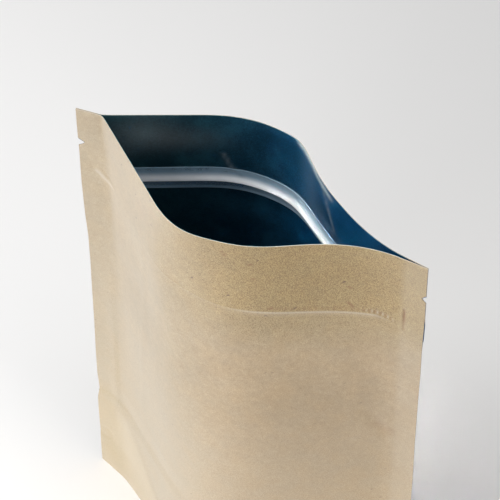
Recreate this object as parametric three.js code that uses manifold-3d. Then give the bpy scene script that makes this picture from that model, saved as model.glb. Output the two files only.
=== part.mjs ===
// A stand-up pouch of kraft paper laminate, standing with its mouth held open: a front and a back panel
// sealed to each other down both sides, a gusset folded up between their bottom edges as the base, and a
// press-to-close zip of two tracks sealed inside the panels below the mouth.
// Millimetres, +Z up, the front towards -Y. The origin is the middle of the base, on the surface it stands on.
import * as THREE from "three";
import { mergeVertices } from "three/addons/utils/BufferGeometryUtils.js";
import Module from "manifold-3d";

// Driving dimensions
const HEIGHT = 230; // bottom edge to mouth
const SHEET = 0.4; // thickness of a panel or of the gusset
const GAP = 0.3; // clear space between two sheets, and between a sheet and a zip track
const GUSSET_LEG = 51; // the fold of the flat gusset lies this high, and each leg is this long
const SEAL_AT_MIDDLE = 6; // height of the seal between gusset and panel at the middle of the base
const SEAL_AT_SIDES = 49; // its height beside the side seals, where it curves up
const SEAL_REACH = 0.86; // how far out, of the half width, the curved seal reaches that height
const FOLD_RADIUS = 2; // half width of the soft fold along the top of the gusset
const NOTCH_BELOW_MOUTH = 18.8; // tear notches, one in each side seal
const NOTCH_DEPTH = 2.8;
const NOTCH_HEIGHT = 2;
const ZIP_BELOW_MOUTH = 36; // centre of the zip's bead
const ZIP_ABOVE_BEAD = 5.6; // flange of the zip track, above and below the bead's centre
const ZIP_BELOW_BEAD = 6.7;
const ZIP_FLANGE = 0.4;
const BEAD_HALF_HEIGHT = 2.3;
const BEAD_DEPTH = 1.1; // how far the bead stands off its flange
const BEAD_BEVEL = 0.5;
const BEAD_PRESSED = 0.05; // what is left of the bead where it is pressed flat
const BEAD_SHARE = 0.8; // the most of the free space between the tracks that a bead fills
const ZIP_ENDS = [-0.845, 0.79]; // the tracks run between these fractions of the half width
const SEAL_NEARS = { from: 0.6, to: 0.8 }; // the panels make room for the gusset between these fractions

// Steps of the curved surfaces
const PANEL_ACROSS = 38;
const PANEL_ROWS = [
  { from: 0, to: 20, count: 4 },
  { from: 20, to: 50, count: 3 },
  { from: 50, to: 54, count: 1 },
  { from: 54, to: 120, count: 4 },
  { from: 120, to: 194, count: 4 },
  { from: 194, to: HEIGHT, count: 3 },
];
const GUSSET_STEPS = { across: 32, seal: 3, leg: 4 };
const ZIP_STEPS = 34;

// Where the left and the right side edge of the panels lie at a height: the pouch narrows as it bulges,
// and the seals draw in a little at the top of the gusset.
const EDGES = [
  { z: 0, left: -70.9, right: 71.0 },
  { z: 46, left: -70.9, right: 71.3 },
  { z: 52, left: -70.1, right: 71.4 },
  { z: 62, left: -70.8, right: 71.5 },
  { z: 139, left: -70.5, right: 72.1 },
  { z: 154, left: -70.8, right: 72.3 },
  { z: 168, left: -71.7, right: 72.4 },
  { z: 198, left: -72.5, right: 72.8 },
  { z: HEIGHT, left: -72.95, right: 72.95 },
];

// Sections of the panels at named heights. Each is a line of corners [x, depth, rounding]: depth is how far
// the sheet stands out from the middle plane, away from the other panel, and rounding is the width over
// which the sheet bends at that corner. The left side seal leans back a little at the mouth.
const MOUTH_FRONT = [
  [-72.9, -0.2, 0],
  [-63, -2.2, 8],
  [-14.6, 30.2, 30],
  [13.3, 23.7, 27],
  [46.5, 0.4, 52],
  [72.9, 0, 0],
];
const MOUTH_BACK = [
  [-72.9, 0.2, 0],
  [-63.3, 2, 8],
  [-15.5, 29.6, 42],
  [6.2, 27.6, 12],
  [21.5, 14.7, 20],
  [50, 0.8, 42],
  [72.9, 0, 0],
];
const ZIP_FRONT = [
  [-72.6, -0.1, 0],
  [-61.2, -1.5, 10],
  [-23.2, 26, 23],
  [7, 30, 43],
  [52.2, 2.7, 38],
  [72.8, 0, 0],
];
const ZIP_BACK = [
  [-72.6, 0.1, 0],
  [-63.9, 1.2, 4],
  [-18.5, 28.1, 37],
  [4.5, 27.7, 16],
  [49.2, 2.4, 46],
  [72.8, 0, 0],
];
const WAIST = [
  [-71.4, 0, 0],
  [-60, 0.2, 22],
  [0, 43, 84],
  [60, 0.2, 22],
  [71.4, 0, 0],
];
const ANKLE = [
  [-71, 0, 0],
  [-60, 1, 14],
  [0, 37.5, 64],
  [60, 1, 14],
  [71, 0, 0],
];
const BASE = [
  [-71, 0, 0],
  [-57, 3.8, 10],
  [0, 36.3, 60],
  [57, 3.8, 10],
  [71, 0, 0],
];
const LEVELS = [
  { z: 0, front: BASE, back: BASE },
  { z: 20, front: ANKLE, back: ANKLE },
  { z: 120, front: WAIST, back: WAIST },
  { z: HEIGHT - ZIP_BELOW_MOUTH, front: ZIP_FRONT, back: ZIP_BACK },
  { z: HEIGHT, front: MOUTH_FRONT, back: MOUTH_BACK },
];

const FRONT = -1;
const BACK = 1;

const KRAFT = { color: 0xc7b087, roughness: 0.78, metalness: 0 };
const DARK_FILM = { color: 0x11304d, roughness: 0.32, metalness: 0.1 };
const MILKY_PLASTIC = { color: 0xb9c3c9, roughness: 0.35, metalness: 0 };

const { lerp, smoothstep } = THREE.MathUtils;

// The two neighbouring rows of a table at height z, and how far z lies from the first to the second.
function between(rows, z) {
  const next = Math.max(1, rows.findIndex((row) => row.z >= z));
  const low = rows[next - 1];
  const high = rows[next];
  return { low, high, part: (z - low.z) / (high.z - low.z) };
}

// Height under a slope that grows from 0 to 1 as t goes from 0 to 1: flat before, a straight ramp after.
function easedRamp(t) {
  if (t <= 0) return 0;
  if (t >= 1) return t - 0.5;
  return t ** 3 - t ** 4 / 2;
}

// Depth of a section at u, which runs from -1 at its left edge to 1 at its right edge.
function sectionDepth(corners, u) {
  const x = lerp(corners[0][0], corners.at(-1)[0], (u + 1) / 2);
  const slopes = corners.slice(1).map(([nextX, nextDepth], i) => {
    return (nextDepth - corners[i][1]) / (nextX - corners[i][0]);
  });
  let depth = corners[0][1] + slopes[0] * (x - corners[0][0]);
  for (let i = 1; i < slopes.length; i++) {
    const [bendX, , rounding] = corners[i];
    depth += (slopes[i] - slopes[i - 1]) * rounding * easedRamp((x - bendX) / rounding + 0.5);
  }
  return depth;
}

// Half of the least space between the panels: in the side seals below the fold it also holds a gusset leg.
function halfSpace(u, z) {
  const gussetLeg = SHEET + GAP;
  const inSideSeal = smoothstep(Math.abs(u), SEAL_NEARS.from, SEAL_NEARS.to);
  const belowFold = 1 - smoothstep(z, GUSSET_LEG - 1, GUSSET_LEG + 3);
  return GAP / 2 + gussetLeg * inSideSeal * belowFold;
}

// A point on the middle of a panel's thickness. The panels meet where their sections would cross.
function panelPoint(side, u, z) {
  const { low, high, part } = between(LEVELS, z);
  const blend = smoothstep(part, 0, 1);
  const frontY = -lerp(sectionDepth(low.front, u), sectionDepth(high.front, u), blend);
  const backY = lerp(sectionDepth(low.back, u), sectionDepth(high.back, u), blend);
  const own = side === FRONT ? frontY : backY;
  const middle = (frontY + backY) / 2;
  const edges = between(EDGES, z);
  const left = lerp(edges.low.left, edges.high.left, edges.part);
  const right = lerp(edges.low.right, edges.high.right, edges.part);
  const x = lerp(left, right, (u + 1) / 2);
  const y = middle + side * (Math.max(0, side * (own - middle)) + halfSpace(u, z) + SHEET / 2);
  return new THREE.Vector3(x, y, z);
}

// The level direction that points out of a panel, away from the other one.
function panelOutward(side, u, z) {
  const reach = 0.01;
  const ahead = panelPoint(side, Math.min(1, u + reach), z);
  const behind = panelPoint(side, Math.max(-1, u - reach), z);
  const along = ahead.sub(behind).normalize();
  return new THREE.Vector3(-along.y * side, along.x * side, 0);
}

// A panel point moved out of the panel by a distance, or into the pouch when it is negative.
function beside(side, u, z, distance) {
  return panelPoint(side, u, z).addScaledVector(panelOutward(side, u, z), distance);
}

// Evenly spaced values from low to high.
function steps(low, high, count) {
  return Array.from({ length: count + 1 }, (_, i) => lerp(low, high, i / count));
}

// Closed mesh between rings of points: each ring is a closed loop, and the first and last are capped.
function skinRings(rings, capFaces) {
  const size = rings[0].length;
  const faces = [];
  for (let i = 0; i + 1 < rings.length; i++) {
    for (let j = 0; j < size; j++) {
      const next = (j + 1) % size;
      const a = i * size + j;
      const b = i * size + next;
      faces.push(a, b, b + size, a, b + size, a + size);
    }
  }
  const last = (rings.length - 1) * size;
  for (const [a, b, c] of capFaces) {
    faces.push(c, b, a, last + a, last + b, last + c);
  }
  const geometry = new THREE.BufferGeometry().setFromPoints(rings.flat());
  geometry.setIndex(faces);
  geometry.computeVertexNormals();
  return geometry;
}

// Caps for a ring that runs along one side of a sheet and back along the other, `length` points a side.
function stripCap(length) {
  const size = 2 * length;
  return steps(0, length - 2, length - 2).flatMap((i) => [
    [i, i + 1, size - 2 - i],
    [i, size - 2 - i, size - 1 - i],
  ]);
}

// A panel: rings across its width, each up the outer face and down the inner one.
function panelGeometry(side) {
  const heights = [0, ...PANEL_ROWS.flatMap(({ from, to, count }) => steps(from, to, count).slice(1))];
  const across = steps(-1, 1, PANEL_ACROSS).map((u) => -side * u);
  const rings = across.map((u) => [
    ...heights.map((z) => beside(side, u, z, SHEET / 2)).reverse(),
    ...heights.map((z) => beside(side, u, z, -SHEET / 2)),
  ]);
  return skinRings(rings, stripCap(heights.length));
}

// Height of the curved seal that joins a gusset leg to its panel.
function sealHeight(u) {
  return lerp(SEAL_AT_MIDDLE, SEAL_AT_SIDES, smoothstep(Math.abs(u), 0, SEAL_REACH) ** 2);
}

// The gusset's line from the front edge over the fold to the back edge, at one place along the width.
function gussetLine(u) {
  const top = sealHeight(u);
  const leg = (side) => steps(0, top, GUSSET_STEPS.seal).map((z) => beside(side, u, z, -SHEET - GAP));
  const front = leg(FRONT);
  const back = leg(BACK);
  const frontTop = front.at(-1);
  const backTop = back.at(-1);
  const half = (backTop.y - frontTop.y) / 2;
  const ridge = frontTop.clone().add(backTop).multiplyScalar(0.5);
  ridge.z = top + Math.sqrt(Math.max(0, (GUSSET_LEG - top) ** 2 - half ** 2));
  const fold = Math.min(half, FOLD_RADIUS);
  const slope = (from, side) => {
    const end = ridge.clone().add(new THREE.Vector3(0, side * fold, -fold));
    return steps(0, 1, GUSSET_STEPS.leg).slice(1).map((t) => from.clone().lerp(end, t));
  };
  return [
    ...front,
    ...slope(frontTop, FRONT),
    ridge,
    ...slope(backTop, BACK).reverse(),
    ...back.reverse(),
  ];
}

// The gusset's sheet: rings across the width, each along the line's upper side and back along its lower one.
function gussetGeometry() {
  const rings = steps(1, -1, GUSSET_STEPS.across).map((u) => {
    const line = gussetLine(u);
    const upward = line.map((_, i) => {
      const behind = line[Math.max(0, i - 1)];
      const ahead = line[Math.min(line.length - 1, i + 1)];
      return new THREE.Vector3(0, -(ahead.z - behind.z), ahead.y - behind.y).normalize();
    });
    upward[0].set(0, -1, 0);
    upward[line.length - 1].set(0, 1, 0);
    const face = (distance) => line.map((point, i) => point.clone().addScaledVector(upward[i], distance));
    return [...face(SHEET / 2), ...face(-SHEET / 2).reverse()];
  });
  return skinRings(rings, stripCap(gussetLine(0).length));
}

// One zip track, sealed inside its panel: a flat flange with a bead along it. The bead is pressed flat
// towards the side seals, where the panels close in on it.
function zipGeometry(side) {
  const beadZ = HEIGHT - ZIP_BELOW_MOUTH;
  const across = steps(ZIP_ENDS[0], ZIP_ENDS[1], ZIP_STEPS);
  if (side === FRONT) across.reverse();
  const ring = (u) => {
    const room = panelPoint(BACK, u, beadZ).distanceTo(panelPoint(FRONT, u, beadZ));
    const freeHalf = (room - SHEET - GAP) / 2 - GAP - ZIP_FLANGE;
    const bead = Math.max(BEAD_PRESSED, Math.min(BEAD_DEPTH, BEAD_SHARE * freeHalf));
    const outline = [
      [0, -ZIP_BELOW_BEAD],
      [0, ZIP_ABOVE_BEAD],
      [ZIP_FLANGE, ZIP_ABOVE_BEAD],
      [ZIP_FLANGE, BEAD_HALF_HEIGHT],
      [ZIP_FLANGE + bead, BEAD_HALF_HEIGHT - BEAD_BEVEL],
      [ZIP_FLANGE + bead, BEAD_BEVEL - BEAD_HALF_HEIGHT],
      [ZIP_FLANGE, -BEAD_HALF_HEIGHT],
      [ZIP_FLANGE, -ZIP_BELOW_BEAD],
    ];
    return outline.map(([stand, up]) => beside(side, u, beadZ + up, -SHEET / 2 - GAP - stand));
  };
  const caps = [
    [0, 1, 2],
    [0, 2, 3],
    [0, 3, 6],
    [0, 6, 7],
    [3, 4, 5],
    [3, 5, 6],
  ];
  return skinRings(across.map(ring), caps);
}

// The wedge that is nicked out of both panels in a side seal for tearing the pouch open.
function notchGeometry(edgeSign) {
  const z = HEIGHT - NOTCH_BELOW_MOUTH;
  const { low, high, part } = between(EDGES, z);
  const key = edgeSign < 0 ? "left" : "right";
  const edge = lerp(low[key], high[key], part);
  const beyond = edge + edgeSign;
  const outline = new THREE.Shape([
    new THREE.Vector2(edge - edgeSign * NOTCH_DEPTH, z),
    new THREE.Vector2(beyond, z + NOTCH_HEIGHT / 2),
    new THREE.Vector2(beyond, z - NOTCH_HEIGHT / 2),
  ]);
  const through = 10;
  const wedge = new THREE.ExtrudeGeometry(outline, { depth: through, bevelEnabled: false });
  return wedge.rotateX(Math.PI / 2).translate(0, through / 2, 0);
}

const wasm = await Module();
wasm.setup();

function toManifold(geometry) {
  const bare = geometry.clone();
  bare.deleteAttribute("normal");
  bare.deleteAttribute("uv");
  const merged = mergeVertices(bare, 1e-3);
  const mesh = new wasm.Mesh({
    numProp: 3,
    vertProperties: merged.attributes.position.array,
    triVerts: new Uint32Array(merged.index.array),
  });
  return new wasm.Manifold(mesh);
}

function fromManifold(solid) {
  const mesh = solid.getMesh();
  const geometry = new THREE.BufferGeometry();
  geometry.setAttribute("position", new THREE.BufferAttribute(mesh.vertProperties, 3));
  geometry.setIndex(new THREE.BufferAttribute(mesh.triVerts, 1));
  geometry.computeVertexNormals();
  return geometry;
}

// A panel with a tear notch in each side.
function notchedPanel(side) {
  const notches = [-1, 1].map((edgeSign) => toManifold(notchGeometry(edgeSign)));
  const cut = notches.reduce((solid, notch) => solid.subtract(notch), toManifold(panelGeometry(side)));
  return fromManifold(cut);
}

function named(name, geometry, finish) {
  const mesh = new THREE.Mesh(geometry, new THREE.MeshStandardMaterial(finish));
  mesh.name = name;
  return mesh;
}

const pouch = new THREE.Group();
pouch.add(
  named("front_panel", notchedPanel(FRONT), KRAFT),
  named("back_panel", notchedPanel(BACK), KRAFT),
  named("bottom_gusset", gussetGeometry(), DARK_FILM),
  named("zip_track_front", zipGeometry(FRONT), MILKY_PLASTIC),
  named("zip_track_back", zipGeometry(BACK), MILKY_PLASTIC),
);

export default pouch;
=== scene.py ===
"""Looks of a kraft stand-up pouch that stands with its mouth held open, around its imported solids.

Metres, in the row frame: +Z up, the front towards -Y, the origin at the middle of the base. The sizes of the
sheets are given in millimetres, as a bag maker does, and turned into metres where a mesh is made.
"""

import math

import bpy
import numpy as np
from mathutils import Matrix, Vector


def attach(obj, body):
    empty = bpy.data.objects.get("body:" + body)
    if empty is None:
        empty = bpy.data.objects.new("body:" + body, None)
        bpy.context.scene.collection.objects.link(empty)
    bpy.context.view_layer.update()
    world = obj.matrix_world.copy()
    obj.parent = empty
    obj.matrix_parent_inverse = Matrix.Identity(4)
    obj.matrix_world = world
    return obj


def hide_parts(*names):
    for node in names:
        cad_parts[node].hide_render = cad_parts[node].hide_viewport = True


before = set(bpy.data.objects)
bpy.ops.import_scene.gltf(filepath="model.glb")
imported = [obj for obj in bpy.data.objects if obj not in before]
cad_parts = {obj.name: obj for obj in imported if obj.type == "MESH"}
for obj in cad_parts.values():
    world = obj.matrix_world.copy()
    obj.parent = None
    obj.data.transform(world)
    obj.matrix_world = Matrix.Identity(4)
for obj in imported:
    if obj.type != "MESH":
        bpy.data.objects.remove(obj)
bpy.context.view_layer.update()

# ---------------------------------------------------------------------------------- front panel, paper ply
# The face of the pouch: brown uncoated kraft paper, glued to a dark film over its whole area. With that film
# it is heat-sealed to the back panel down both sides, to the gusset along a curve that climbs sideways, and
# to the front half of the zip. It bows out at the base and is pushed open at the mouth.

MM = 0.001
HEIGHT = 230
ZIP_LINE = 194
FRONT = -1
BACK = 1
PAPER = 0.18
FILM = 0.06
GLUE = 0.01
LAMINATE = FILM + GLUE + PAPER
TOUCH = 0.006  # half of the gap between two sealed sheets, before each stands out by its relief
HALF_WIDTH = 72

# The side edges of the panels, as (height, left x, right x): the pouch narrows where it bulges.
SIDE_EDGES = np.array(
    (
        (0, -70.9, 71.0),
        (46, -70.9, 71.3),
        (52, -70.1, 71.4),
        (62, -70.8, 71.5),
        (139, -70.5, 72.1),
        (154, -70.8, 72.3),
        (168, -71.7, 72.4),
        (198, -72.5, 72.8),
        (HEIGHT, -72.95, 72.95),
    )
)

# Sections of the panels at named heights, each a line of corners (x, depth, rounding): depth is how far the
# sheet stands out from the middle plane, and rounding is the width over which it bends at that corner.
MOUTH_FRONT = (
    (-72.9, -0.2, 0),
    (-63, -2.2, 3),
    (-14.6, 30.2, 30),
    (13.3, 23.7, 27),
    (46.5, 0.4, 52),
    (72.9, 0, 0),
)
MOUTH_BACK = (
    (-72.9, 0.2, 0),
    (-63.3, 2, 3),
    (-15.5, 29.6, 42),
    (6.2, 27.6, 12),
    (21.5, 14.7, 20),
    (50, 0.8, 42),
    (72.9, 0, 0),
)
ZIP_FRONT = (
    (-72.6, -0.1, 0),
    (-61.2, -1.5, 10),
    (-23.2, 26, 23),
    (7, 30, 43),
    (52.2, 2.7, 38),
    (72.8, 0, 0),
)
ZIP_BACK = (
    (-72.6, 0.1, 0),
    (-63.9, 1.2, 4),
    (-18.5, 28.1, 37),
    (4.5, 27.7, 21),
    (49.2, 2.4, 46),
    (72.8, 0, 0),
)
WAIST = ((-71.4, 0, 0), (-60, 0.2, 22), (0, 43, 84), (60, 0.2, 22), (71.4, 0, 0))
ANKLE = ((-71, 0, 0), (-60, 1, 14), (0, 37.5, 64), (60, 1, 14), (71, 0, 0))
BASE = ((-71, 0, 0), (-57, 3.8, 10), (0, 36.3, 60), (57, 3.8, 10), (71, 0, 0))
LEVELS = (
    (0, BASE, BASE),
    (20, ANKLE, ANKLE),
    (120, WAIST, WAIST),
    (ZIP_LINE, ZIP_FRONT, ZIP_BACK),
    (HEIGHT, MOUTH_FRONT, MOUTH_BACK),
)


def ease(value, low=0.0, high=1.0):
    """A soft step from 0 at low to 1 at high."""
    part = np.clip((value - low) / (high - low), 0, 1)
    return part * part * (3 - 2 * part)


def hump(distance, width):
    """1 on a line and fading away over a width on both sides of it."""
    return np.exp(-((distance / width) ** 2))


def window(value, low, high, soft):
    """1 between low and high, with soft ends."""
    return ease(value, low - soft, low + soft) * (1 - ease(value, high - soft, high + soft))


def line_distance(u, z, *corners):
    """Distance in millimetres from a line through corners (u, z), measured on the flat sheet."""
    shortest = np.inf
    for (start_u, start_z), (end_u, end_z) in zip(corners, corners[1:]):
        run_x, run_z = HALF_WIDTH * (end_u - start_u), end_z - start_z
        x, up = HALF_WIDTH * (u - start_u), z - start_z
        share = np.clip((x * run_x + up * run_z) / (run_x**2 + run_z**2 + 1e-9), 0, 1)
        shortest = np.minimum(shortest, np.hypot(x - share * run_x, up - share * run_z))
    return shortest


def section_depth(corners, u):
    """Depth of a section at u, from -1 at its left edge to 1 at its right edge."""
    x, depth, rounding = np.array(corners, float).T
    slopes = np.diff(depth) / np.diff(x)
    place = x[0] + (x[-1] - x[0]) * (u + 1) / 2
    result = depth[0] + slopes[0] * (place - x[0])
    for bend in range(1, len(slopes)):
        t = (place - x[bend]) / rounding[bend] + 0.5
        eased = np.where(t < 0, 0, np.where(t > 1, t - 0.5, t * t * t * (1 - t / 2)))
        result = result + (slopes[bend] - slopes[bend - 1]) * rounding[bend] * eased
    return result


def panel_depth(column, u, z):
    """Depth of the front panel for column 1 and of the back panel for column 2, at a height."""
    depths = [section_depth(level[column], u) for level in LEVELS]
    depth = depths[0] + 0 * z
    for low, high, low_depth, high_depth in zip(LEVELS, LEVELS[1:], depths, depths[1:]):
        part = np.clip((z - low[0]) / (high[0] - low[0]), 0, 1)
        blend = part if low[0] == ZIP_LINE else ease(part)
        depth = np.where(z >= low[0], low_depth + (high_depth - low_depth) * blend, depth)
    return depth


SEAL_EDGE = 0.86  # inner edge of the side seals, as a share of the half width
BASE_SEAL_LOW = 6
BASE_SEAL_RISE = 43


def base_seal_height(u):
    """Top of the curved seal between a gusset leg and its panel."""
    return BASE_SEAL_LOW + BASE_SEAL_RISE * ease(abs(u), 0, SEAL_EDGE) ** 2


def seal_room(u, z):
    """Half of the space between the panels. In the side seals below the fold it holds a gusset leg too."""
    leg = LAMINATE + GLUE
    return TOUCH + leg * ease(abs(u), 0.6, 0.8) * (1 - ease(z, 50, 54))


# Lines on the flat sheet, each through corners (u, height): u is -1 at the left edge and 1 at the right one.
PRINT_CURL = ((0.7, 194), (0.752, 194.1), (0.787, 193.4), (0.827, 192.2), (0.88, 189.2), (0.914, 185.5))
SLIT = ((0.892, 201.2), (0.893, 195.2), (0.894, 189.6))
CRUSHED_END = ((-0.9, 197.6), (-0.868, 195.8), (-0.842, 194.9), (-0.812, 194.3))
HOLLOW = ((-0.875, 198.8), (-0.825, 197.2))
STRIPE = ((-0.497, 190), (-0.5, 178), (-0.553, 128), (-0.608, 66))
ARC = ((0.74, 123), (0.6, 113), (0.459, 107))
FOLD = ((-0.394, 211), (-0.398, 199))
Y_CREASE = ((-0.34, 207.9), (-0.305, 200.5), (-0.255, 197.3))
RIM_PALE_BAND = ((0.09, 229.5), (0.2, 228.6), (0.29, 227.4), (0.35, 226.2))
SCRATCHES = ((0.29, 225.9), (0.335, 217.4), (0.385, 207.3))
DENT_SHADE = ((0.79, 124.5), (0.86, 120.5))
FIBRES = (
    ((0.053, 224.9), (0.073, 223.1)),
    ((0.182, 220.4), (0.188, 219.8)),
    ((0.203, 212.3), (0.212, 212.2)),
    ((0.616, 207.9), (0.628, 207.4)),
    ((0.619, 199.2), (0.644, 197.2)),
    ((0.287, 196.4), (0.288, 196)),
)
EAR = (0.957, 22.5)
EAR_RADIUS = 3.1
RIBS_PER_MM = 3.3 / (2 * math.pi)
RIBS_ABOVE_PRINT = 1.9


def zip_print_height(u):
    """Height of the line that the zip's bead prints in a panel. It curls down at the right."""
    return np.interp(u, *zip(*PRINT_CURL))


def knurl(u):
    """The ribs of the crimping bar above the zip print, from -1 to 1."""
    return np.sin(2 * math.pi * RIBS_PER_MM * HALF_WIDTH * u)


def sway(u, z):
    """How far both panels are pushed back together, where they are sealed to each other."""
    outer = ease(abs(u), SEAL_EDGE, 0.93)
    ripple = 0.2 * np.sin(z / 9.5 + 2.1 * np.sin(z / 31 + u)) * np.sin(z / 23 + 1.3 + 2 * u)
    slit = 0.2 * hump(line_distance(u, z, *SLIT), 0.5)
    ridge = -0.28 * hump(line_distance(u, z, *CRUSHED_END), 1.3)
    hollow = 0.05 * hump(line_distance(u, z, *HOLLOW), 0.9)
    pressed = 0.05 * window(u, -0.951, -0.85, 0.006) * window(z, 198.3, 202.8, 0.5)
    ear = np.hypot(HALF_WIDTH * (abs(u) - EAR[0]), z - EAR[1])
    ear_ring = 0.6 * hump(ear - EAR_RADIUS, 1) + 0.5 * (1 - ease(ear, 1.6, 3.4))
    return ripple * outer + slit + ridge + hollow + pressed + 0.2 * ear_ring * ease(abs(u), SEAL_EDGE, 0.9)


def relief(side, u, z):
    """How far a panel stands proud of its smooth shape, in creases, seal lines and the print of the zip."""
    x = HALF_WIDTH * u
    free = 1 - ease(abs(u), 0.82, 0.875)
    seal_line = z - base_seal_height(u)
    base_seal = 0.05 * hump(seal_line + 3, 2.6) - 0.14 * ease(seal_line, -7, 5)
    base_seal = base_seal * ease(abs(u), 0.3, 0.5)
    sag = 0.26 * np.sin(x / 17 + z / 41 + side) * np.sin(z / 27 - x / 60 + 2 * side)
    sag = sag + 0.1 * np.sin(x / 7.3 - z / 19 + 4 * side) * np.sin(z / 15 + 1.1)
    sag = sag * window(z, 14, 182, 9)
    above = z - zip_print_height(u)
    strength = 0.08 + 0.35 * ease(u, -0.45, -0.2) + 0.57 * ease(u, 0, 0.35)
    strength = strength * (1 - 0.8 * ease(u, 0.76, 0.88))
    bead = 0.1 * hump(above, 0.42) * window(u, -0.84, 0.93, 0.02)
    shelf = 0.17 * (1 - ease(above, -0.6, 0.5)) * ease(above, -9, -1) * (1 - ease(u, 0.74, 0.86))
    zip_print = (bead + shelf) * strength
    if side == BACK:
        crease = hump(x + 4 * np.sin(z / 13) - 30, 2.2) * window(z, 150, 218, 18)
        crease = 0.12 * crease - 0.28 * hump(line_distance(u, z, *Y_CREASE), 1.1)
        soft = 0.2 * np.sin(x / 9 + 1.7) * np.sin(z / 8 + x / 31) * window(z, 203, 226, 5)
        return free * (base_seal + sag + 0.6 * zip_print + crease + soft) + 2 * GLUE
    ribs = -knurl(u) * hump(above - RIBS_ABOVE_PRINT, 0.75) * window(u, 0.26, 0.85, 0.02)
    ribs = (0.03 + 0.05 * ease(u, 0.6, 0.76)) * ribs
    stripe = 0.12 * hump(line_distance(u, z, *STRIPE), 2.2) * window(z, 66, 188, 9)
    dent = hump(x - 57.5 + 0.35 * (z - 124), 2.6) * hump(z - 125, 9)
    dent = dent - 0.6 * hump(x - 53, 4) * hump(z - 126, 10)
    arc = 0.07 * hump(line_distance(u, z, *ARC), 3.2)
    fold = -0.06 * hump(line_distance(u, z, *FOLD), 0.9)
    return free * (base_seal + sag + zip_print + ribs + stripe - 0.45 * dent + arc + fold) + 2 * GLUE


def sheet_line(side, u, z):
    """Plan position of the inner face of a panel, before its relief."""
    front = -panel_depth(1, u, z)
    back = panel_depth(2, u, z)
    middle = (front + back) / 2
    own = front if side == FRONT else back
    left = np.interp(z, SIDE_EDGES[:, 0], SIDE_EDGES[:, 1])
    right = np.interp(z, SIDE_EDGES[:, 0], SIDE_EDGES[:, 2])
    x = left + (right - left) * (u + 1) / 2
    gap = side * (own - middle)
    softness = 0.6 * (1 - ease(abs(u), 0.84, 0.9)) * (1 - 0.8 * ease(z, 205, 225))
    gap = (gap + np.sqrt(gap**2 + softness**2)) / 2
    y = middle + side * (gap + seal_room(u, z)) + sway(u, z)
    return x, y


def sheet_place(side, u, z, out):
    """Points of a panel, `out` millimetres outside its inner face, in metres."""
    reach = 0.01
    x, y = sheet_line(side, u, z)
    ahead_x, ahead_y = sheet_line(side, u + reach, z)
    behind_x, behind_y = sheet_line(side, u - reach, z)
    run = np.hypot(ahead_x - behind_x, ahead_y - behind_y)
    out = (out + relief(side, u, z)) * side / run
    return MM * np.stack([x - (ahead_y - behind_y) * out, y + (ahead_x - behind_x) * out, z + 0 * x], -1)


def spaced(*runs):
    """Values in runs of (from, to, steps), without the doubles where two runs meet."""
    parts = [np.linspace(low, high, steps + 1)[1:] for low, high, steps in runs]
    return np.concatenate([[runs[0][0]], *parts])


ACROSS = spaced(
    (-1, -0.92, 10),
    (-0.92, -0.8, 18),
    (-0.8, 0, 50),
    (0, 0.34, 20),
    (0.34, 0.54, 26),
    (0.54, 0.68, 24),
    (0.68, 0.86, 36),
    (0.86, 0.92, 18),
    (0.92, 1, 8),
)
UP = spaced(
    (0, 64, 66),
    (64, 184, 44),
    (184, 192, 14),
    (192, 199, 30),
    (199, 208, 14),
    (208, 216, 32),
    (216, 224, 8),
    (224, 229.8, 12),
    (229.8, HEIGHT, 2),
)


# Tear notches: the heights of the lower end, the tip and the upper end, and the depth.
LEFT_NOTCH = (209.1, 211.5, 213.1, 2.6)
RIGHT_NOTCH = (209.8, 211.3, 213.4, 1.7)
BACK_NOTCH_DROP = 0.8


def notch(z, low, tip, high, depth):
    """Depth of a tear notch at a height: a wedge from low to high at the edge, with slightly bowed sides."""
    share = np.minimum((z - low) / (tip - low), (high - z) / (high - tip))
    return depth * np.clip(share, 0, 1) ** 0.7


def trimmed(side, u, z):
    """The sheet's grid with its side edges cut: a notch in each, and the uneven edge below the right one."""
    drop = BACK_NOTCH_DROP if side == BACK else 0
    left = notch(z + drop, *LEFT_NOTCH)
    right = notch(z + drop, *RIGHT_NOTCH)
    if side == BACK:
        right = right - 0.24 * window(z, 185, 197, 2) + 0.15 * window(z, 60, 182, 4)
    cut = np.where(u < 0, left, right)
    near_edge = np.clip(1 - HALF_WIDTH * (1 - abs(u)) / 6, 0, 1)
    return u - np.sign(u) * near_edge * cut / HALF_WIDTH, z


def grid_quads(index):
    """The four corners of each face of a grid of vertex numbers."""
    corners = index[:-1, :-1], index[:-1, 1:], index[1:, 1:], index[1:, :-1]
    return np.stack(corners, -1).reshape(-1, 4)


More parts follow.
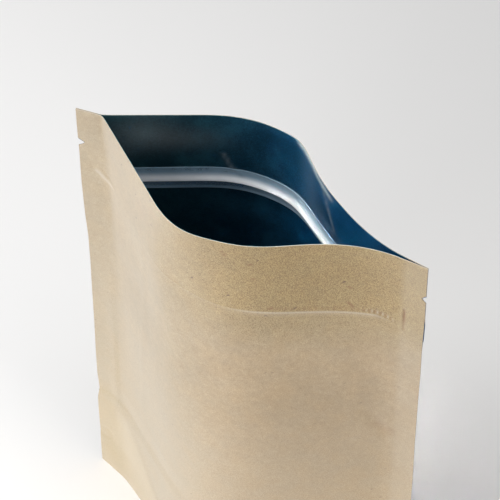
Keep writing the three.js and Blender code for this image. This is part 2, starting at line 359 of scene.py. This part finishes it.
def closed_sheet(name, outer, inner, flat, marks):
    """A thin closed solid between two grids of points. flat is its UV map, and marks its named attributes."""
    rows, columns = outer.shape[:2]
    count = rows * columns
    index = np.arange(count).reshape(rows, columns)
    quads = grid_quads(index)
    border = np.concatenate([index[0], index[1:, -1], index[-1, -2::-1], index[-2:0:-1, 0]])
    walls = np.stack([np.roll(border, -1), border, border + count, np.roll(border, -1) + count], -1)
    faces = np.concatenate([quads, quads[:, ::-1] + count, walls])
    a, b, c, _ = outer.reshape(-1, 3)[quads[len(quads) // 2]]
    proud = (outer - inner).reshape(-1, 3)[quads[len(quads) // 2][0]]
    if np.cross(b - a, c - b) @ proud < 0:
        faces = faces[:, ::-1]
    mesh = bpy.data.meshes.new(name)
    points = np.concatenate([outer.reshape(-1, 3), inner.reshape(-1, 3)])
    mesh.from_pydata(points.tolist(), [], faces.tolist())
    layer = mesh.uv_layers.new(name="sheet")
    corners = np.zeros(len(mesh.loops), np.int32)
    mesh.loops.foreach_get("vertex_index", corners)
    layer.data.foreach_set("uv", flat.reshape(-1, 2)[corners % count].astype(np.float32).ravel())
    for mark, values in marks.items():
        attribute = mesh.attributes.new(mark, "FLOAT", "POINT")
        attribute.data.foreach_set("value", np.tile(values.ravel(), 2).astype(np.float32))
    mesh.shade_smooth()
    mesh.set_sharp_from_angle(angle=math.radians(50))
    piece = bpy.data.objects.new(name, mesh)
    bpy.context.scene.collection.objects.link(piece)
    return piece


def unrolled(points):
    """Distance along the sheet and height of a grid of points, in metres."""
    steps = np.linalg.norm(np.diff(points[..., :2], axis=1), axis=-1)
    along = np.concatenate([np.zeros((len(points), 1)), np.cumsum(steps, axis=1)], axis=1)
    along = along - along[:, along.shape[1] // 2, None] + 0.1
    return np.stack([along, points[..., 2]], -1)


def panel_marks(side, u, z):
    """Named attributes of a panel, each from 0 to 1: sealed; paler along creases, with painted highlights;
    darkened by fibres, with painted shade; pale scratches and a pale band by the rim, with painted sheen;
    cut.
    """
    side_seal = ease(abs(u), 0.85, 0.9)
    base_seal = 1 - ease(z - base_seal_height(u), -14, 4)
    base_line = hump(z - base_seal_height(u) + 0.9, 0.7) * ease(abs(u), 0.3, 0.6)
    above = z - zip_print_height(u)
    zip_line = hump(above, 0.4) + 0.35 * (1 - ease(above, -0.3, 0.3)) * ease(above, -3.5, -0.3)
    zip_line = zip_line * window(u, -0.45, 0.91, 0.04) * (0.25 + 0.75 * ease(u, 0.05, 0.25))
    zip_line = 0.75 * zip_line * (1 - 0.9 * ease(u, 0.73, 0.84))
    # Painted highlight on the ridge at the crushed left end of the zip print.
    painted_ridge_highlight = 0.6 * hump(line_distance(u, z, *CRUSHED_END), 1.3)
    scratches_and_sheen = 0 * u
    if side == BACK:
        # On the back film: a pale band along the rim and pale scratches, a painted highlight along the
        # Y-shaped crease, and painted reflections in two patches at the upper left.
        scratches_and_sheen = hump(line_distance(u, z, *RIM_PALE_BAND), 1.6)
        scratches_and_sheen = scratches_and_sheen + 0.45 * hump(line_distance(u, z, *SCRATCHES), 0.6)
        scratches_and_sheen = scratches_and_sheen + 0.32 * hump(line_distance(u, z, *Y_CREASE), 0.65)
        scratches_and_sheen = scratches_and_sheen + 0.24 * hump(np.hypot((u + 0.7) / 0.14, (z - 219) / 9), 1)
        scratches_and_sheen = scratches_and_sheen + 0.14 * hump(np.hypot((u + 0.5) / 0.16, (z - 216) / 6), 1)
        scratches_and_sheen = np.clip(scratches_and_sheen, 0, 1)
    # Painted shade in the slit by the right seal, strongest near its middle; the fibres added below on the
    # front are dark fibres of the paper.
    dark = 0.95 * hump(line_distance(u, z, *SLIT), 0.6) * (0.35 + 0.65 * hump(z - 197, 4))
    if side == FRONT:
        dark = np.maximum(dark, 0.26 * hump(line_distance(u, z, *DENT_SHADE), 1.9))
        for fibre in FIBRES:
            dark = np.maximum(dark, hump(line_distance(u, z, *fibre), 0.42))
        # Painted shade in the grooves between the crimp ribs above the zip print, and a painted highlight on
        # their crests towards the right.
        row = hump(above - RIBS_ABOVE_PRINT, 0.95) * window(u, 0.28, 0.84, 0.04)
        dark = np.maximum(dark, row * (0.5 + 0.5 * knurl(u)) * (0.35 + 0.35 * ease(u, 0.6, 0.78)))
        painted_ridge_highlight = painted_ridge_highlight + 0.8 * row * np.maximum(0, -knurl(u)) * ease(u, 0.66, 0.76)
    return {
        "sealed": np.maximum(side_seal, base_seal),
        "creased": np.clip(0.1 * base_line + (zip_line + painted_ridge_highlight) * (side == FRONT), 0, 1),
        "darkened": dark,
        "scuffed": scratches_and_sheen,
        "cut": hump(HEIGHT - z, 0.1) * (1 if side == FRONT else 0.5 + 0.5 * side_seal),
    }


def panel_ply(name, side, inner, outer):
    """One ply of a panel, between two distances outside the panel's inner face."""
    u, z = trimmed(side, *np.meshgrid(ACROSS, UP))
    outer_points = sheet_place(side, u, z, outer)
    inner_points = sheet_place(side, u, z, inner)
    return closed_sheet(name, outer_points, inner_points, unrolled(outer_points), panel_marks(side, u, z))


class Wire:
    """A socket of a node tree. Sums and products of wires add Math nodes, and node() adds any other node."""

    def __init__(self, tree, socket=None):
        self.tree = tree
        self.socket = socket

    def node(self, kind, settings=None, sockets=None, out=0):
        made = self.tree.nodes.new(kind)
        for name, value in (settings or {}).items():
            if name == "stops":
                while len(made.color_ramp.elements) < len(value):
                    made.color_ramp.elements.new(1)
                for element, (position, colour) in zip(made.color_ramp.elements, value):
                    element.position = position
                    element.color = (*colour, 1)
            else:
                setattr(made, name, value)
        for name, value in (sockets or {}).items():
            if isinstance(value, Wire):
                self.tree.links.new(value.socket, made.inputs[name])
            else:
                made.inputs[name].default_value = value
        return Wire(self.tree, made.outputs[out] if made.outputs else None)

    def math(self, operation, *values):
        return self.node("ShaderNodeMath", {"operation": operation}, dict(enumerate(values)))

    def __add__(self, other):
        return self.math("ADD", self, other)

    def __radd__(self, other):
        return self.math("ADD", other, self)

    def __sub__(self, other):
        return self.math("SUBTRACT", self, other)

    def __rsub__(self, other):
        return self.math("SUBTRACT", other, self)

    def __mul__(self, other):
        return self.math("MULTIPLY", self, other)

    def __rmul__(self, other):
        return self.math("MULTIPLY", other, self)

    def __pow__(self, other):
        return self.math("POWER", self, other)

    def step(self, low, high):
        """0 below low, 1 above high and soft between them; the other way round if low is the higher."""
        sockets = {"Value": self, "From Min": low, "From Max": high}
        return self.node("ShaderNodeMapRange", {"interpolation_type": "SMOOTHSTEP"}, sockets)

    def mix(self, low, high, blend="MIX"):
        """A colour between low and high, at this wire's share."""
        settings = {"data_type": "RGBA", "blend_type": blend}
        return self.node("ShaderNodeMix", settings, {0: self, 6: low, 7: high}, out=2)

    def noise(self, scale, detail=2.0, roughness=0.5):
        """Noise at this wire's place, about 0.5 in the mean."""
        sockets = {"Vector": self, "Scale": scale, "Detail": detail, "Roughness": roughness}
        return self.node("ShaderNodeTexNoise", None, sockets)

    def stretched(self, x, y, z, turn=0.0):
        """This place scaled along its axes, after a turn about Z in degrees."""
        turned = {"Vector": self, "Rotation": (0, 0, math.radians(turn))}
        scaled = {0: self.node("ShaderNodeMapping", None, turned), 1: (x, y, z)}
        return self.node("ShaderNodeVectorMath", {"operation": "MULTIPLY"}, scaled)

    def vector(self, operation, other):
        """This vector and another one in a Vector Math node; a dot product gives a value."""
        out = "Value" if operation == "DOT_PRODUCT" else 0
        return self.node("ShaderNodeVectorMath", {"operation": operation}, {0: self, 1: other}, out)

    def mark(self, name):
        """A named attribute of the mesh."""
        return self.node("ShaderNodeAttribute", {"attribute_name": name}, out="Fac")

    def feed(self, shader, wires):
        """Link wires to the named sockets of a shader."""
        for name, wire in wires.items():
            self.tree.links.new(wire.socket, shader.inputs[name])


def new_material(name, **sockets):
    """A material's tree and its Principled shader, with the constants set on the shader's own sockets."""
    material = bpy.data.materials.new(name)
    material.use_nodes = True
    shader = material.node_tree.nodes["Principled BSDF"]
    for socket, value in sockets.items():
        shader.inputs[socket.replace("_", " ")].default_value = value
    return material, Wire(material.node_tree), shader


def kraft_paper(name):
    """Brown kraft: clouded pulp, pale and dark fibres, a few specks of bark and a bloom of loose fuzz, with a
    painted haze of light low down and painted shade above the zip print on the right.
    """
    material, tree, shader = new_material(name, IOR=1.5, Specular_IOR_Level=0.25, Sheen_Weight=0.6)
    place = tree.node("ShaderNodeTexCoord", out="Object")
    sheet = tree.node("ShaderNodeUVMap", {"uv_map": "sheet"})
    height = place.node("ShaderNodeSeparateXYZ", None, {0: place}, out="Z")
    cloud = place.noise(34, 2, 0.55)
    pulp = place.noise(420, 3, 0.6)
    grain = place.noise(2500, 3, 0.7)
    wander = (sheet.noise(60, 2, 0.5) - 0.5) * 0.004
    bent = sheet.vector("ADD", wander.node("ShaderNodeCombineXYZ", None, {0: wander, 1: wander * 0.5}))
    fibres = [bent.stretched(3600, 330, 1, turn).noise(1, 2, 0.5) for turn in (8, -34, 61)]
    pale_fibre = fibres[0].step(0.62, 0.72) + 0.7 * fibres[1].step(0.64, 0.74)
    dark_fibre = fibres[2].step(0.64, 0.74)
    cells = {"Vector": sheet.stretched(210, 110, 1, 50), "Scale": 1.0}
    speck_distance = sheet.node("ShaderNodeTexVoronoi", None, cells, out="Distance")
    cell_colour = sheet.node("ShaderNodeTexVoronoi", None, cells, out="Color")
    cell_pick = cell_colour.vector("DOT_PRODUCT", (7.3, 3.1, 5.7))
    shown = 0.35 + 0.55 * height.step(0.17, 0.2)
    speck = shown * speck_distance.step(0.1, 0.06) * cell_pick.math("FRACT", cell_pick).step(0.68, 0.72)
    tone = 0.5 + 0.6 * (cloud - 0.5) + 0.7 * (pulp - 0.5)
    stops = [(0.1, (0.22, 0.162, 0.09)), (0.5, (0.288, 0.218, 0.128)), (0.9, (0.367, 0.285, 0.175))]
    base = tone.node("ShaderNodeValToRGB", {"stops": stops}, {"Fac": tone})
    # Painted light: towards the bottom the colour is mixed with a paler, greyer kraft, a painted haze of
    # light thrown up from the floor.
    base = height.step(0.16, 0.02).mix(base, (0.35, 0.275, 0.17, 1))
    across = place.node("ShaderNodeSeparateXYZ", None, {0: place}, out="X")
    lower_right = height.step(0.19, 0.16) * across.step(-0.03, 0.02)
    base = lower_right.mix(base, base.vector("MULTIPLY", (1.06, 1.0, 0.94)))
    # Above the zip print on the right half: a coarser grain, and painted shade that makes the band darker and
    # more saturated.
    grainy_shaded_band = height.step(0.165, 0.2) * across.step(-0.045, 0.012)
    base = grainy_shaded_band.mix(base, base.vector("MULTIPLY", (0.9, 0.8, 0.5)))
    warmth = place.noise(110, 2, 0.6).step(0.3, 0.7)
    base = base.vector("MULTIPLY", warmth.mix((0.983, 1.0, 1.025, 1), (1.017, 1.0, 0.965, 1)))
    speckle = (0.5 + (1.5 + 2.1 * grainy_shaded_band) * (grain - 0.5)).mix((0.6, 0.47, 0.3, 1), (1.4, 1.53, 1.7, 1))
    base = base.vector("MULTIPLY", speckle)
    base = (pale_fibre * 0.16).mix(base, (0.5, 0.41, 0.29, 1))
    base = (dark_fibre * 0.14).mix(base, (0.19, 0.13, 0.07, 1))
    base = speck.mix(base, (0.1, 0.045, 0.018, 1))
    low = height.step(0.07, 0.035)
    seal_tint = low.mix((0.48, 0.42, 0.33, 1), (0.52, 0.41, 0.24, 1))
    base = (tree.mark("sealed") * (0.16 + 0.16 * low)).mix(base, seal_tint)
    # Paler along creases and the zip print, and a painted highlight on the crushed zip end and on the crests
    # of the crimp ribs.
    base = (tree.mark("creased") * 0.6).mix(base, (0.48, 0.43, 0.36, 1))
    # Dark fibres and specks, with painted shade in the slit, beside the dent and between the crimp ribs.
    base = (tree.mark("darkened") * 0.8).mix(base, (0.16, 0.055, 0.008, 1))
    base = tree.mark("cut").mix(base, (0.6, 0.52, 0.4, 1))
    roughness = 0.6 + 0.14 * (grain - 0.5) + 0.1 * (cloud - 0.5) - 0.05 * tree.mark("sealed")
    bump_height = 0.5 * grain + 0.5 * pulp + 0.25 * pale_fibre + 0.2 * dark_fibre
    bump = {"Strength": 0.45, "Distance": 0.00006, "Height": bump_height}
    normal = tree.node("ShaderNodeBump", None, bump)
    tree.feed(shader, {"Base Color": base, "Roughness": roughness, "Normal": normal})
    return material


front_kraft = panel_ply("front_kraft", FRONT, FILM + GLUE, LAMINATE)
kraft = kraft_paper("brown_kraft")
front_kraft.data.materials.append(kraft)
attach(front_kraft, "root")
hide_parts("front_panel")

# ----------------------------------------------------------------------------------- front panel, film ply
# The barrier side of the front panel: a dark blue heat-sealing film on the inside of the paper, smooth with a
# soft shine, and the face that all the seals are made on.


def lining_film(name):
    """Dark blue film: mottled, with a soft shine and rub marks, and painted light: darker and redder on the
    left, brighter and bluer on the right.
    """
    material, tree, shader = new_material(name, IOR=1.5, Specular_IOR_Level=0.75)
    place = tree.node("ShaderNodeTexCoord", out="Object")
    sheet = tree.node("ShaderNodeUVMap", {"uv_map": "sheet"})
    patch = place.noise(38, 3, 0.6)
    print_through = place.noise(1100, 3, 0.65)
    rub = sheet.stretched(90, 1900, 1, 14).noise(1, 2, 0.5)
    crinkle = place.noise(75, 3, 0.5)
    grain = place.noise(2300, 2, 0.6)
    tone = 0.5 + 1.7 * (patch - 0.5) + 1.2 * (print_through - 0.5) + 2.8 * (grain - 0.5)
    stops = [(0.2, (0.003, 0.03, 0.06)), (0.5, (0.005, 0.05, 0.1)), (0.8, (0.014, 0.08, 0.145))]
    base = tone.node("ShaderNodeValToRGB", {"stops": stops}, {"Fac": tone})
    across = place.node("ShaderNodeSeparateXYZ", None, {0: place}, out="X")
    mottle = place.noise(75, 3, 0.65).step(0.48, 0.72)
    base = (mottle * (0.1 + 0.3 * across.step(0.01, -0.02))).mix(base, (0.02, 0.13, 0.22, 1))
    # Painted light: darker and redder on the left, where the film faces away from the light, and brighter and
    # bluer on the right, where it faces it.
    shaded_left = base.vector("MULTIPLY", (1.4, 0.85, 0.6))
    lit_right = base.vector("MULTIPLY", (0.4, 1.2, 1.6))
    base = across.step(-0.05, 0.045).mix(shaded_left, lit_right)
    base = (rub.step(0.64, 0.78) * 0.22).mix(base, (0.05, 0.16, 0.24, 1))
    # Paler along creases, with painted highlights where the front's crushed zip end and crimp ribs lie.
    base = (tree.mark("creased") * 0.3).mix(base, (0.05, 0.16, 0.24, 1))
    # Pale grey over the scratches and the band by the rim, and painted sheen: a highlight along the Y crease
    # and reflections at the upper left.
    base = (tree.mark("scuffed") * (0.4 + 0.9 * print_through)).mix(base, (0.46, 0.49, 0.5, 1))
    height = place.node("ShaderNodeSeparateXYZ", None, {0: place}, out="Z")
    # Painted light: brighter and bluer low on the right, below the zip, where light reaches the wall.
    lit_lower_right = across.step(-0.012, 0.018) * height.step(0.19, 0.183)
    base = lit_lower_right.mix(base, base.vector("MULTIPLY", (1.0, 1.9, 2.0)))
    edge = tree.mark("sealed").mix((0.05, 0.4, 0.52, 1), (0.55, 0.47, 0.35, 1))
    base = tree.mark("cut").mix(base, edge)
    roughness = 0.36 + 0.16 * (patch - 0.5) + 0.14 * (print_through - 0.5) + 0.2 * tree.mark("scuffed")
    bump = {"Strength": 0.5, "Distance": 0.00012, "Height": 0.35 * print_through + 2.6 * crinkle}
    normal = tree.node("ShaderNodeBump", None, bump)
    tree.feed(shader, {"Base Color": base, "Roughness": roughness, "Normal": normal})
    return material


front_lining = panel_ply("front_lining", FRONT, 0, FILM)
film = lining_film("dark_film")
front_lining.data.materials.append(film)
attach(front_lining, "root")
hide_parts("front_panel")

# ---------------------------------------------------------------------------------------------- back panel
# The back of the pouch, cut from the same laminate as the front: kraft outside, dark film inside. Its film
# shows through the open mouth, behind the back half of the zip.

back_kraft = panel_ply("back_kraft", BACK, FILM + GLUE, LAMINATE)
back_kraft.data.materials.append(kraft)
back_lining = panel_ply("back_lining", BACK, 0, FILM)
back_lining.data.materials.append(film)
for piece, finish in ((back_kraft, "kraft_paper"), (back_lining, "inner_film")):
    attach(piece, "root")
    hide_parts("back_panel")

# ------------------------------------------------------------------------------------------- bottom gusset
# A third web of the same laminate, folded up between the bottom edges of the panels with its film upwards.
# Its legs are sealed to the panels below a curve. What is filled in presses it open into a flat base.

FOLD_HEIGHT = 51
FOLD_ROUND = 1.6
GUSSET_ACROSS = spaced((-1, -0.8, 24), (-0.8, 0.8, 110), (0.8, 1, 24))
LEG_STEPS = 16
SLOPE_STEPS = 24


def gusset_line(distance):
    """The gusset's sheet as a grid, a distance above the middle of its thickness, and its UV map."""
    half_sheet = LAMINATE / 2
    u = GUSSET_ACROSS[:, None]
    top = base_seal_height(u)
    heights = top * np.linspace(0, 1, LEG_STEPS)
    legs = {}
    for side in (FRONT, BACK):
        legs[side] = sheet_place(side, u + 0 * heights, heights, -GLUE - half_sheet)[..., 1:] / MM
    x = sheet_line(FRONT, u, top)[0]
    half = (legs[BACK][:, -1:, 0] - legs[FRONT][:, -1:, 0]) / 2
    ridge = (legs[FRONT][:, -1:] + legs[BACK][:, -1:]) / 2
    ridge[..., 1] = top + np.sqrt(np.maximum(0, (FOLD_HEIGHT - top) ** 2 - half**2))
    t = np.linspace(0, 1, SLOPE_STEPS)[1:]
    fold = np.minimum(half, FOLD_ROUND)
    slopes = {}
    for side in (FRONT, BACK):
        start = legs[side][:, -1:]
        slope = start + (ridge - start) * t[:, None]
        near_fold = hump(slope[..., 0] - ridge[..., 0], fold + 0.01)
        slope[..., 1] -= 0.035 * half * np.sin(math.pi * t) + 0.45 * fold * near_fold
        slopes[side] = slope
    line = np.concatenate([legs[FRONT], slopes[FRONT], slopes[BACK][:, -2::-1], legs[BACK][:, ::-1]], axis=1)
    run = np.gradient(line, axis=1)
    run /= np.linalg.norm(run, axis=-1, keepdims=True) + 1e-9
    upward = np.stack([-run[..., 1], run[..., 0]], -1)
    upward[:, 0] = (-1, 0)
    upward[:, -1] = (1, 0)
    line = line + distance * upward
    across = x + 0 * line[..., 0]
    along = np.cumsum(np.linalg.norm(np.diff(line, axis=1, prepend=line[:, :1]), axis=-1), axis=1)
    return MM * np.stack([across, line[..., 0], line[..., 1]], -1), MM * np.stack([across + 100, along], -1)


def gusset_ply(name, low, high):
    """One ply of the gusset, between two distances above the middle of its thickness."""
    upper, flat = gusset_line(high)
    lower, _ = gusset_line(low)
    count = upper.shape[1]
    leg = np.minimum(np.arange(count), np.arange(count)[::-1]) < LEG_STEPS
    fold = hump(np.arange(count) - (count - 1) / 2, 1.5)
    sealed = np.tile(leg.astype(float), (len(upper), 1))
    plain = 0 * sealed
    marks = dict.fromkeys(("darkened", "scuffed", "cut"), plain)
    marks.update({"sealed": sealed, "creased": plain + fold})
    return closed_sheet(name, upper, lower, flat, marks)


gusset_lining = gusset_ply("gusset_lining", LAMINATE / 2 - FILM, LAMINATE / 2)
gusset_lining.data.materials.append(film)
gusset_kraft = gusset_ply("gusset_kraft", -LAMINATE / 2, LAMINATE / 2 - FILM - GLUE)
gusset_kraft.data.materials.append(kraft)
for piece, finish in ((gusset_lining, "inner_film"), (gusset_kraft, "kraft_paper")):
    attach(piece, "root")
    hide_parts("bottom_gusset")

# -------------------------------------------------------------------------------------- press-to-close zip
# Two extruded tracks of milky polyethylene, each welded by its flange to the film of one panel below the
# mouth: a thin flange with a raised bead along it. Towards the side seals the tracks are pressed flat.

TRACK_ENDS = (-0.845, 0.79)
TRACK_COLUMNS = 170
FLANGE_ABOVE = 5.6
FLANGE_BELOW = 6.7
OFF_FILM = 0.08

# What the nodes are given: thickness and depth in metres, the bead's centre and half height in millimetres.
TRACK_SIZES = {
    "Flange Thickness": 0.16 * MM,
    "Bead Depth": 1.2 * MM,
    "Bead Centre": 0.65,
    "Bead Half Height": 2.4,
    "Thin Share": 0.3,
}


def track_tree():
    """Nodes that thicken a strip on the film into a zip track: a flange, and the bead that stands on it."""
    tree = bpy.data.node_groups.new("zip_track", "GeometryNodeTree")
    tree.is_modifier = True
    tree.interface.new_socket("Geometry", in_out="INPUT", socket_type="NodeSocketGeometry")
    for name in TRACK_SIZES:
        tree.interface.new_socket(name, in_out="INPUT", socket_type="NodeSocketFloat")
    tree.interface.new_socket("Plastic", in_out="INPUT", socket_type="NodeSocketMaterial")
    tree.interface.new_socket("Geometry", in_out="OUTPUT", socket_type="NodeSocketGeometry")
    start = Wire(tree)
    group = tree.nodes.new("NodeGroupInput")
    given = {socket.name: Wire(tree, socket) for socket in group.outputs if socket.name}
    strip = given["Geometry"]
    up, opened = [
        start.node("GeometryNodeInputNamedAttribute", {"data_type": "FLOAT"}, {"Name": name})
        for name in ("up", "opened")
    ]
    across = up.math("DIVIDE", up - given["Bead Centre"], given["Bead Half Height"])
    full = across.step(-1.0, -0.8) * across.step(0.5, -0.8)
    thin = across.step(-1.0, -0.8) * across.step(1.7, 0.4)
    bead = (full * (1 - given["Thin Share"]) + thin * given["Thin Share"]) * given["Bead Depth"] * opened
    raised = {"Mesh": strip, "Offset Scale": given["Flange Thickness"] + bead, "Individual": False}
    skin = start.node("GeometryNodeExtrudeMesh", {"mode": "FACES"}, raised)
    join = tree.nodes.new("GeometryNodeJoinGeometry")
    tree.links.new(start.node("GeometryNodeFlipFaces", None, {"Mesh": strip}).socket, join.inputs[0])
    tree.links.new(skin.socket, join.inputs[0])
    joined = {"Geometry": Wire(tree, join.outputs[0]), "Distance": 1e-6}
    body = start.node("GeometryNodeMergeByDistance", None, joined)
    smooth = start.node("GeometryNodeSetShadeSmooth", None, {"Geometry": body})
    real = start.node("GeometryNodeRealizeInstances", None, {"Geometry": smooth})
    finished = start.node("GeometryNodeSetMaterial", None, {"Geometry": real, "Material": given["Plastic"]})
    output = tree.nodes.new("NodeGroupOutput")
    tree.links.new(finished.socket, output.inputs[0])
    return tree


def milky_plastic(name):
    """Milky polyethylene: thin flanges let the dark film through, and the thick bead is nearly white."""
    material, tree, shader = new_material(name, IOR=1.5, Specular_IOR_Level=0.5, Sheen_Weight=0.6)
    place = tree.node("ShaderNodeTexCoord", out="Object")
    haze = place.noise(160, 2, 0.5)
    streak = place.noise(900, 3, 0.6)
    up = tree.mark("up")
    bead = up.step(-1.95, -1.6)
    thick = bead * up.step(3.6, 0.1)
    flange_edge = up.step(-4.6, -6.3) + 0.6 * up.step(5.0, 5.4)
    base = thick.mix((0.42, 0.66, 0.85, 1), (0.95, 0.97, 0.99, 1))
    # Painted light: on the right the flange below the bead is made more opaque, so it shows paler where more
    # light reaches it.
    right = place.node("ShaderNodeSeparateXYZ", None, {0: place}, out="X").step(-0.03, 0.005)
    below = up.step(-1.9, -2.1) * right
    alpha = 0.24 + 0.1 * bead + 0.62 * thick + 0.3 * flange_edge + 0.3 * below + 0.1 * (haze - 0.5)
    roughness = 0.46 + 0.2 * (haze - 0.5) + 0.15 * (streak - 0.5)
    bump = {"Strength": 0.15, "Distance": 0.00008, "Height": streak + haze}
    normal = tree.node("ShaderNodeBump", None, bump)
    tree.feed(shader, {"Base Color": base, "Roughness": roughness, "Alpha": alpha, "Normal": normal})
    return material


def zip_track(name, side, tree, plastic):
    """A zip track on the inner face of a panel."""
    heights = spaced((-FLANGE_BELOW, -2.2, 14), (-2.2, -0.9, 16), (-0.9, 3.2, 20), (3.2, FLANGE_ABOVE, 10))
    u, up = np.meshgrid(np.linspace(*TRACK_ENDS, TRACK_COLUMNS), heights)
    z = ZIP_LINE + up
    points = sheet_place(side, u, z, -OFF_FILM)
    room = (panel_depth(1, u, ZIP_LINE + 0 * u) + panel_depth(2, u, ZIP_LINE + 0 * u)) / 2
    opened = np.clip(0.8 * (room - 0.6) / 1.1, 0.05, 1) * (1 + 0.4 * window(u, 0.1, 0.48, 0.12))
    quads = grid_quads(np.arange(u.size).reshape(u.shape))
    if side == FRONT:
        quads = quads[:, ::-1]
    mesh = bpy.data.meshes.new(name)
    mesh.from_pydata(points.reshape(-1, 3).tolist(), [], quads.tolist())
    for mark, values in (("up", up), ("opened", opened)):
        attribute = mesh.attributes.new(mark, "FLOAT", "POINT")
        attribute.data.foreach_set("value", values.astype(np.float32).ravel())
    track = bpy.data.objects.new(name, mesh)
    bpy.context.scene.collection.objects.link(track)
    modifier = track.modifiers.new("zip_track", "NODES")
    modifier.node_group = tree
    for socket, value in {**TRACK_SIZES, "Plastic": plastic}.items():
        modifier[tree.interface.items_tree[socket].identifier] = value
    made = bpy.data.meshes.new_from_object(track.evaluated_get(bpy.context.evaluated_depsgraph_get()))
    track.modifiers.remove(modifier)
    track.data = made
    return track


zip_nodes = track_tree()
zip_plastic = milky_plastic("milky_polyethylene")
for name, side in (("zip_track_front_milky", FRONT), ("zip_track_back_milky", BACK)):
    track = zip_track(name, side, zip_nodes, zip_plastic)
    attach(track, "root")
    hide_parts("zip_track_front" if side == FRONT else "zip_track_back")

# --------------------------------------------------------------------------------- floor, light and camera
# A plain pale tabletop under soft studio light: broad lamps overhead and on the left, weak fills in front and
# on the right, and two narrow beams that reach the zip through the mouth. The camera looks down on the pouch
# from the front right, as the photograph's does.

floor_mesh = bpy.data.meshes.new("floor")
half = 4.0
floor_corners = [(-half, -half, 0), (half, -half, 0), (half, half, 0), (-half, half, 0)]
floor_mesh.from_pydata(floor_corners, [], [(0, 1, 2, 3)])
floor = bpy.data.objects.new("floor", floor_mesh)
bpy.context.scene.collection.objects.link(floor)
floor_paint, floor_tree, floor_shader = new_material("tabletop", Roughness=0.75, Specular_IOR_Level=0.2)
fleck = floor_tree.node("ShaderNodeTexCoord", out="Object").noise(3, 2, 0.5)
floor_colour = fleck.mix((0.86, 0.855, 0.85, 1), (0.89, 0.885, 0.88, 1))
floor_tree.tree.links.new(floor_colour.socket, floor_shader.inputs["Base Color"])
floor_mesh.materials.append(floor_paint)

world = bpy.data.worlds.new("studio")
world.use_nodes = True
world.node_tree.nodes["Background"].inputs["Color"].default_value = (0.98, 0.99, 1.0, 1)
world.node_tree.nodes["Background"].inputs["Strength"].default_value = 0.15
bpy.context.scene.world = world
bpy.context.scene.view_settings.view_transform = "Standard"


def soft_lamp(name, place, target, size, power, beam=180):
    """A lamp turned to a target, out of the camera's sight. Size is width and height, beam is in degrees."""
    lamp = bpy.data.lights.new(name, "AREA")
    lamp.shape = "RECTANGLE"
    lamp.size, lamp.size_y = size
    lamp.energy = power
    lamp.spread = math.radians(beam)
    holder = bpy.data.objects.new(name, lamp)
    holder.location = place
    holder.rotation_euler = (Vector(target) - Vector(place)).to_track_quat("-Z", "Y").to_euler()
    holder.visible_camera = False
    bpy.context.scene.collection.objects.link(holder)


soft_lamp("overhead", (0, 0, 1.6), (0, 0, 0), (1, 1), 6.9)
soft_lamp("window", (-0.8, -0.6, 1.3), (0, 0, 0.1), (0.6, 0.6), 7.5)
soft_lamp("front", (0.15, -1.3, 0.3), (0, 0, 0.08), (0.6, 0.6), 3.1)
soft_lamp("low_front", (-0.1, -0.7, 0.17), (0, 0, 0.04), (0.3, 0.3), 2.3)
soft_lamp("left", (-0.55, -0.3, 0.35), (-0.25, -0.15, 0), (0.3, 0.3), 2.3)
soft_lamp("right", (1.0, -0.2, 0.6), (0, 0, 0.1), (0.6, 0.6), 3.7)
soft_lamp("into_mouth", (-0.43, -0.08, 0.95), (0.025, 0.02, 0.205), (0.05, 0.05), 0.016, 7.5)
soft_lamp("above_mouth", (-0.03, -0.1, 1.1), (0.008, 0.024, 0.2), (0.04, 0.04), 0.0062, 5)

turn = 0.5268  # the camera's turn to the right of the pouch's front, and its roll, in radians
tilt = math.radians(53.476)
roll = -0.0055
camera_place = (0.3997, -0.6867, 1.2652)
sideways = Vector((math.cos(turn), math.sin(turn), 0))
away = Vector((-math.sin(turn), math.cos(turn), 0))
forward = math.cos(tilt) * away - math.sin(tilt) * Vector((0, 0, 1))
upward = math.sin(tilt) * away + math.cos(tilt) * Vector((0, 0, 1))
picture_right = math.cos(roll) * sideways + math.sin(roll) * upward
picture_up = math.cos(roll) * upward - math.sin(roll) * sideways
camera_data = bpy.data.cameras.new("camera")
camera_data.lens = 261.98
camera_data.sensor_width = 36
camera_data.clip_start = 0.05
camera_data.clip_end = 50
camera = bpy.data.objects.new("camera", camera_data)
camera.matrix_world = Matrix.Translation(camera_place) @ (
    Matrix((picture_right, picture_up, -forward)).transposed().to_4x4()
)
bpy.context.scene.collection.objects.link(camera)
bpy.context.scene.camera = camera
